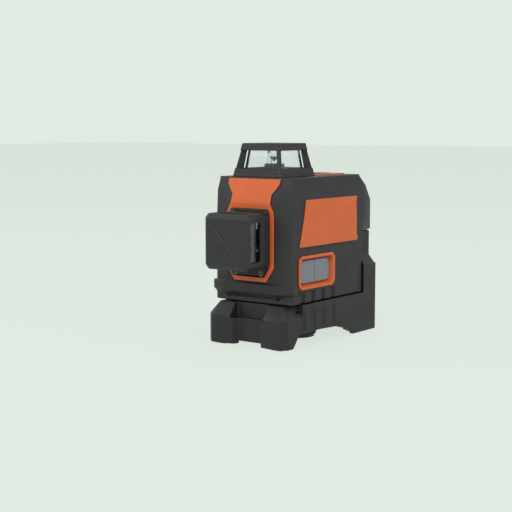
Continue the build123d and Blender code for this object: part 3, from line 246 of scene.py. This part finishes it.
moulded("black_shell", (0.021, 0.0195, 0.022), (0.075, 0.072, 0.076), 0.5)
moulded("black_bracket", (0.017, 0.016, 0.018), (0.07, 0.066, 0.07), 0.52,
        grain=0.0005, depth=0.00005)
moulded("black_frame", (0.017, 0.016, 0.018), (0.06, 0.057, 0.06), 0.4, depth=0.00001)
moulded("orange_trim", (0.68, 0.125, 0.032), (0.78, 0.24, 0.1), 0.42,
        grain=0.0004, depth=0.000015, corner_wear_and_highlight=0.35)
moulded("switch_black", (0.03, 0.03, 0.032), (0.07, 0.07, 0.07), 0.4, grain=0.0006, depth=0.00001)
moulded("acetal", (0.78, 0.77, 0.71), (0.86, 0.85, 0.8), 0.35, depth=0.00001, corner_wear_and_highlight=0.2)
moulded("cell_wrap", (0.04, 0.17, 0.38), (0.2, 0.35, 0.55), 0.25,
        grain=0.004, depth=0.00004, corner_wear_and_highlight=0.3)
print("moulded finishes:", sorted(finishes))

# %% [markdown]
# ## Rubber and silicone
#
# The keys are soft-touch silicone and the feet are rubber. Both scatter light widely, hold dust,
# and have a grain coarser than the hard plastic's.

# %% Soft finishes
def soft_touch(name, colour, dusty, rough):
    rubber = Finish(name)
    grain, dust = rubber.noise(0.0006, 4.0, 0.65), rubber.noise(0.006, 5.0, 0.7)
    rubber.set(
        Base_Color=rubber.blend(0.5 * rubber.ramp(dust, 0.45, 0.75), rgb(*colour), rgb(*dusty)),
        Roughness=rough + 0.15 * (dust - 0.5),
        Normal=rubber.bump(grain, 0.6, 0.00004),
        Sheen_Weight=0.15,
        Sheen_Roughness=0.5,
    )
    finishes[name] = rubber.material


soft_touch("grey_key", (0.185, 0.195, 0.235), (0.235, 0.24, 0.275), 0.5)
soft_touch("soft_rubber", (0.026, 0.026, 0.027), (0.05, 0.048, 0.046), 0.72)
print("soft finishes added:", len(finishes))

# %% [markdown]
# ## Metals
#
# A turned part shows fine lines round it, so its noise is squeezed along the axis that it turned
# on. Die-cast aluminium has a skin of soft blotches, and nickel plate shows faint clouding.

# %% Metal finishes
turned, even_grain = (1.0, 1.0, 12.0), (1.0, 1.0, 1.0)  # noise scale along X, Y and Z


def metal(name, colour, dull, rough, stretch=turned, line=0.0004, depth=0.00001):
    """Metal of a colour; dull is its colour in the clouds, and line and depth are in metres."""
    bare = Finish(name)
    lined = bare.node("ShaderNodeMapping", {}, {"Vector": bare.place(), "Scale": stretch}, "Vector")
    lines, cloud = bare.noise(line, 3.0, 0.6, lined), bare.noise(0.004, 4.0, 0.6)
    bare.set(
        Base_Color=bare.blend(0.6 * bare.ramp(cloud, 0.4, 0.75), rgb(*colour), rgb(*dull)),
        Metallic=1.0,
        Roughness=rough + 0.14 * (cloud - 0.4) + 0.12 * (lines - 0.5),
        Normal=bare.bump(lines, 0.35, depth),
    )
    finishes[name] = bare.material


metal("magnet", (0.6, 0.6, 0.62), (0.48, 0.48, 0.5), 0.22, even_grain, 0.001)
metal("screw_steel", (0.14, 0.14, 0.145), (0.08, 0.08, 0.08), 0.36)
metal("bright_steel", (0.66, 0.66, 0.68), (0.54, 0.54, 0.56), 0.24)
metal("thread_brass", (0.72, 0.52, 0.24), (0.5, 0.36, 0.17), 0.28)
metal("cast_aluminium", (0.58, 0.59, 0.6), (0.46, 0.47, 0.48), 0.42, even_grain, 0.0008, 0.00003)
metal("cone_mirror", (0.88, 0.88, 0.89), (0.84, 0.84, 0.85), 0.06, even_grain, 0.002, 0.000002)
print("metals added:", len(finishes))

# %% [markdown]
# ## Glass and the printed board
#
# The window panes are clear float glass. Real panes carry a little dust and faint smears, which
# change only how sharp the reflections are. The board's lacquer is clear over copper tracks, so
# its green is darker and lighter in straight lines.

# %% Glass and board
glass = Finish("window_glass")
smear = glass.noise(0.005, 5.0, 0.65)
glass.set(
    Base_Color=rgb(0.93, 0.96, 0.96),
    Roughness=0.015 + 0.05 * glass.ramp(smear, 0.55, 0.85),
    Transmission_Weight=1.0,
    IOR=1.46,
)
finishes["window_glass"] = glass.material

board = Finish("board_green")
tracks = board.node("ShaderNodeTexBrick", {"offset": 0.5}, {
    "Vector": board.place(), "Color1": rgb(0.02, 0.17, 0.07), "Color2": rgb(0.012, 0.11, 0.045),
    "Mortar": rgb(0.05, 0.3, 0.12), "Scale": 160.0, "Mortar Size": 0.03,
}, "Color")
board.set(Base_Color=tracks, Roughness=0.25 + 0.1 * board.noise(0.003), Coat_Weight=0.3)
finishes["board_green"] = board.material

for node in nodes.values():
    for place in node.material_slots:
        kind = place.material.name.removeprefix("cad.")
        place.material = finishes.get(kind, place.material)
for name in ("top_barrel", "hub"):  # blacked over the metal; their slots stay as they are
    nodes[name].material_slots[0].material = finishes["black_frame"]
print("finishes given to", len(nodes), "solids")

# %% [markdown]
# ## Softened edges
#
# A moulding never has a knife edge: the tool has a small radius, and that thin band is what
# catches the light. The solids have sharp edges, so the outer mouldings are copied, their loose
# triangles are joined back into flat faces, and a Bevel modifier rounds each edge. The rounded
# mesh is kept inside the solid's own box, so that a shallow groove can't push it outwards, and
# then it stands for the solid.

# %% Soften
edge_angle, bevel_steps, flat_weight = radians(28), 2, 80
weld_distance, flat_within, skew_within = 2e-6, radians(0.5), radians(50)


def soften(name, width):
    """Copy of a solid, its edges rounded to a width in metres, which then stands for the solid."""
    source = nodes[name]
    mesh = source.data.copy()
    mesh.name = name + "_moulding"
    work = bmesh.new()
    work.from_mesh(mesh)
    bmesh.ops.remove_doubles(work, verts=work.verts, dist=weld_distance)
    bmesh.ops.join_triangles(
        work, faces=work.faces, angle_face_threshold=flat_within, angle_shape_threshold=skew_within
    )
    work.to_mesh(mesh)
    work.free()
    if "custom_normal" in mesh.attributes:
        mesh.attributes.remove(mesh.attributes["custom_normal"])
    mesh.shade_smooth()
    mesh.set_sharp_from_angle(angle=edge_angle)
    piece = bpy.data.objects.new(name + "_moulding", mesh)
    bpy.context.scene.collection.objects.link(piece)
    bevel = piece.modifiers.new("tool_radius", "BEVEL")
    bevel.width, bevel.segments = width, bevel_steps
    bevel.limit_method, bevel.angle_limit = "ANGLE", edge_angle
    bevel.use_clamp_overlap = False
    even = piece.modifiers.new("flat_faces", "WEIGHTED_NORMAL")
    even.keep_sharp, even.weight = True, flat_weight
    rounded = piece.evaluated_get(bpy.context.evaluated_depsgraph_get())
    piece.data = bpy.data.meshes.new_from_object(rounded)
    piece.modifiers.clear()
    low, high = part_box(name)
    for vertex in piece.data.vertices:
        vertex.co = [min(max(c, a), b) for c, a, b in zip(vertex.co, low, high)]
    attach(piece, source["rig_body"])
    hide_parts(name)
    return piece


widths = {
    "upper_housing": 0.7, "lower_housing": 0.6, "front_box": 0.45, "side_box": 0.45, "cage": 0.35,
    "bracket": 0.6, "front_trim": 0.2, "label_panel": 0.2, "key_bezel": 0.3,
}
for name, width in widths.items():
    piece = soften(name, width * mm)
    print(name, "faces after rounding:", len(piece.data.polygons))

# %% [markdown]
# ## Top keys
#
# The three holes of the orange top panel hold soft keys. Each is a rounded cushion of silicone.
# Rings of points, each a little smaller and higher than the last, give the domed shape, and one
# face closes the top.

# %% Top keys
def rounded_ring(centre, half_x, half_y, corner, z, steps=6):
    """Points of a rounded rectangle, in order, at a height."""
    points = []
    for turn, (sx, sy) in enumerate(((1, 1), (-1, 1), (-1, -1), (1, -1))):
        for k in range(steps + 1):
            angle = turn * pi / 2 + k / steps * pi / 2
            x = centre[0] + sx * (half_x - corner) + corner * cos(angle)
            y = centre[1] + sy * (half_y - corner) + corner * sin(angle)
            points.append((x, y, z))
    return points


def stack_rings(name, rings, finish):
    """Closed mesh through rings of as many points each, with a face at each end."""
    work = bmesh.new()
    loops = [[work.verts.new(p) for p in ring] for ring in rings]
    for low, high in zip(loops, loops[1:]):
        for k in range(len(low)):
            work.faces.new((low[k - 1], low[k], high[k], high[k - 1]))
    work.faces.new(list(reversed(loops[0])))
    work.faces.new(loops[-1])
    bmesh.ops.recalc_face_normals(work, faces=work.faces)
    mesh = bpy.data.meshes.new(name)
    work.to_mesh(mesh)
    work.free()
    mesh.materials.append(finishes[finish])
    mesh.shade_smooth()
    mesh.set_sharp_from_angle(angle=radians(40))
    piece = bpy.data.objects.new(name, mesh)
    bpy.context.scene.collection.objects.link(piece)
    return piece


key_half_x, key_half_y, key_corner = 5.5 * mm, 7.5 * mm, 1.8 * mm
key_centres = {"pulse": (-14.5 * mm, 14 * mm), "lamp": (0.0, 14 * mm), "lock": (14.5 * mm, 14 * mm)}
key_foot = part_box("top_panel")[0].z + 0.02 * mm  # just clear of what the panel lies on
key_dome = [(0.0, 0.0), (0.0, 1.0), (0.15, 1.35), (0.5, 1.6), (1.1, 1.72), (2.2, 1.78)]
key_top = key_foot + key_dome[-1][1] * mm
for use, centre in key_centres.items():
    rings = []
    for inset, up in key_dome:
        half_x, half_y = key_half_x - inset * mm, key_half_y - inset * mm
        rings.append(rounded_ring(centre, half_x, half_y, key_corner, key_foot + up * mm))
    key = stack_rings("top_key_" + use, rings, "grey_key")
    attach(key, "housing")
    print(key.name, "top at", round(max(v.co.z for v in key.data.vertices) / mm, 2), "mm")

# %% [markdown]
# ## Repeated details with Geometry Nodes
#
# Ribs round a collar and pips on a key are one small shape, many times. A tree of Geometry Nodes
# places the shape on a circle or a row of points, and its inputs hold the sizes. Each tree ends
# by making the copies real and giving them their finish, and the result is stored as a plain
# mesh.

# %% A tree of repeats
def repeat_tree(name, count, radius, size, finish):
    """Blocks of a size, set in a ring of that radius, each turned to face outwards."""
    tree = bpy.data.node_groups.new(name, "GeometryNodeTree")
    face = tree.interface
    face.new_socket("Count", in_out="INPUT", socket_type="NodeSocketInt").default_value = count
    face.new_socket("Radius", in_out="INPUT", socket_type="NodeSocketFloat").default_value = radius
    face.new_socket("Size", in_out="INPUT", socket_type="NodeSocketVector").default_value = size
    face.new_socket("Centre", in_out="INPUT", socket_type="NodeSocketVector")
    face.new_socket("Geometry", in_out="OUTPUT", socket_type="NodeSocketGeometry")
    add, link = tree.nodes.new, tree.links.new
    given, result = add("NodeGroupInput"), add("NodeGroupOutput")
    ring, block = add("GeometryNodeMeshCircle"), add("GeometryNodeMeshCube")
    spread, where = add("GeometryNodeInstanceOnPoints"), add("GeometryNodeInputPosition")
    turn, real = add("FunctionNodeAlignRotationToVector"), add("GeometryNodeRealizeInstances")
    shift, coat = add("GeometryNodeTransform"), add("GeometryNodeSetMaterial")
    turn.axis = "X"
    coat.inputs["Material"].default_value = finishes[finish]
    link(given.outputs["Count"], ring.inputs["Vertices"])
    link(given.outputs["Radius"], ring.inputs["Radius"])
    link(given.outputs["Size"], block.inputs["Size"])
    link(where.outputs["Position"], turn.inputs["Vector"])
    link(ring.outputs["Mesh"], spread.inputs["Points"])
    link(block.outputs["Mesh"], spread.inputs["Instance"])
    link(turn.outputs["Rotation"], spread.inputs["Rotation"])
    link(spread.outputs["Instances"], shift.inputs["Geometry"])
    link(given.outputs["Centre"], shift.inputs["Translation"])
    link(shift.outputs["Geometry"], real.inputs["Geometry"])
    link(real.outputs["Geometry"], coat.inputs["Geometry"])
    link(coat.outputs["Geometry"], result.inputs["Geometry"])
    return tree


def grow(name, tree, body, finish, **values):
    """Runs a tree with these inputs and keeps what it makes as a plain mesh that rides a body."""
    seed = bpy.data.objects.new(name + "_seed", bpy.data.meshes.new(name + "_seed"))
    bpy.context.scene.collection.objects.link(seed)
    modifier = seed.modifiers.new("repeat", "NODES")
    modifier.node_group = tree
    for socket in tree.interface.items_tree:
        if socket.item_type == "SOCKET" and socket.in_out == "INPUT" and socket.name in values:
            modifier[socket.identifier] = values[socket.name]
    seen = bpy.context.evaluated_depsgraph_get()
    mesh = bpy.data.meshes.new_from_object(seed.evaluated_get(seen))
    bpy.data.objects.remove(seed)
    mesh.name = name
    piece = bpy.data.objects.new(name, mesh)
    bpy.context.scene.collection.objects.link(piece)
    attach(piece, body)
    print(name, "faces:", len(mesh.polygons))


# %% [markdown]
# ## Knurled collar of the top emitter
#
# The barrel that points up out of the housing is turned by hand when the planes are adjusted, so
# its rim is ribbed. The ribs stand a little out of the barrel, just above the housing.

# %% Collar ribs
barrel_low, barrel_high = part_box("top_barrel")
barrel_r = (barrel_high.x - barrel_low.x) / 2
middle = (barrel_low + barrel_high) / 2
rib_size, rib_drop = (0.7 * mm, 0.8 * mm, 5 * mm), 4.2 * mm
ribs = repeat_tree("collar_ribs", 28, barrel_r, rib_size, "black_frame")
collar_centre = (middle.x, middle.y, barrel_high.z - rib_drop)
grow("emitter_collar_ribs", ribs, "pendulum", "black_frame", Centre=collar_centre)

# %% [markdown]
# ## Grip rings on the top keys
#
# The same kind of tree, with smaller blocks in a smaller ring, gives each top key a ring of short
# ribs that a thumb can feel. One function therefore serves two quite different details.

# %% Key grips
pips = repeat_tree("key_pips", 14, 2.5 * mm, (0.9 * mm, 0.35 * mm, 0.4 * mm), "grey_key")
for use, centre in key_centres.items():
    grow("grip_ring_" + use, pips, "housing", "grey_key", Centre=(*centre, key_top))

# %% [markdown]
# ## Crease on the right side
#
# A slim raised crease runs down the side panel behind the keys, leaning forward as it falls. Its
# section is a low ridge, so one flank catches the light. It follows a straight line on the
# housing's flat side, and its ends taper away to nothing.

# %% Side crease
rim_depth, steps, taper, least = 2.2 * mm, 12, 6, 0.02
side_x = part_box("lower_housing")[1].x - rim_depth  # the flat side, inside the bumper rim
high, low = Vector((side_x, 29.5 * mm, 75.0 * mm)), Vector((side_x, 17.5 * mm, 52.0 * mm))
outward = Vector((1, 0, 0))
across = (low - high).normalized().cross(outward)
section = ((-0.9, -0.25), (-0.25, 0.42), (0.25, 0.42), (0.9, -0.25))  # across and outward, in mm
stations = []
for k in range(steps + 1):
    share = k / steps
    swell = (min(1.0, taper * share, taper * (1 - share)) + least) * mm
    middle = high.lerp(low, share)
    stations.append([middle + across * a * swell + outward * b * swell for a, b in section])
crease = stack_rings("side_crease", stations, "black_shell")
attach(crease, "housing")
print("crease length in mm:", round((high - low).length / mm, 1))

# %% [markdown]
# ## Floor, background and light
#
# A catalogue picture has an even pale ground. The floor and the world show that one pale colour
# to the camera, and the floor keeps a soft part of the shadow. Big soft lamps in front, above and
# to each side light the level at a plain strength, at which a colour looks about as it is
# written.

# %% Floor and world
pale, half = (0.76, 0.83, 0.76), 8.0
corners = [(-half, -half, 0), (half, -half, 0), (half, half, 0), (-half, half, 0)]
floor_mesh = bpy.data.meshes.new("floor")
floor_mesh.from_pydata(corners, [], [(0, 1, 2, 3)])
floor = bpy.data.objects.new("floor", floor_mesh)
bpy.context.scene.collection.objects.link(floor)
paper = Finish("paper_floor")
paper.set(Base_Color=rgb(*pale), Roughness=0.9, Specular_IOR_Level=0.1)
rays = ("Is Camera Ray", "Is Transmission Ray", "Is Glossy Ray")
straight, through, mirrored = (paper.node("ShaderNodeLightPath", {}, {}, ray) for ray in rays)
glow = paper.node("ShaderNodeEmission", {}, {"Color": rgb(*pale), "Strength": 1.0}, "Emission")
lit = Wire(paper, paper.surface.outputs[0])
glow_share = 0.88 * (straight + through + mirrored)
mixed = paper.node("ShaderNodeMixShader", {}, {0: glow_share, 1: lit, 2: glow})
end = next(n for n in paper.tree.nodes if n.type == "OUTPUT_MATERIAL")
paper.tree.links.new(mixed.socket, end.inputs["Surface"])
floor_mesh.materials.append(paper.material)

world = bpy.data.worlds.new("studio")
world.use_nodes = True
bpy.context.scene.world = world
sky = world.node_tree
back = sky.nodes["Background"]
path = sky.nodes.new("ShaderNodeLightPath")
shown = path.outputs[rays[0]]
for ray in rays[1:]:
    total = sky.nodes.new("ShaderNodeMath")
    total.operation, total.use_clamp = "ADD", True
    sky.links.new(shown, total.inputs[0])
    sky.links.new(path.outputs[ray], total.inputs[1])
    shown = total.outputs[0]
level = sky.nodes.new("ShaderNodeMapRange")
level.inputs["To Min"].default_value, level.inputs["To Max"].default_value = 0.42, 1.0
sky.links.new(shown, level.inputs["Value"])
sky.links.new(level.outputs["Result"], back.inputs["Strength"])
back.inputs["Color"].default_value = rgb(*pale)
print("floor and world are", pale)

# %% Lamps
level_middle = Vector((0, 0, 0.07))


def soft_lamp(name, place, size, power):
    """Square lamp at a place, aimed at the middle of the level."""
    light = bpy.data.lights.new(name, "AREA")
    light.size, light.energy = size, power
    lamp = bpy.data.objects.new(name, light)
    bpy.context.scene.collection.objects.link(lamp)
    lamp.location = place
    lamp.rotation_euler = (level_middle - Vector(place)).to_track_quat("-Z", "Y").to_euler()


soft_lamp("front_lamp", (0.35, -1.5, 0.9), 0.9, 13)
soft_lamp("left_lamp", (-1.5, -0.7, 0.9), 1.0, 7)
soft_lamp("right_lamp", (1.7, 0.0, 0.8), 1.0, 9)
soft_lamp("top_lamp", (0.0, 0.3, 1.8), 1.2, 9)
bpy.context.scene.view_settings.view_transform = "Standard"
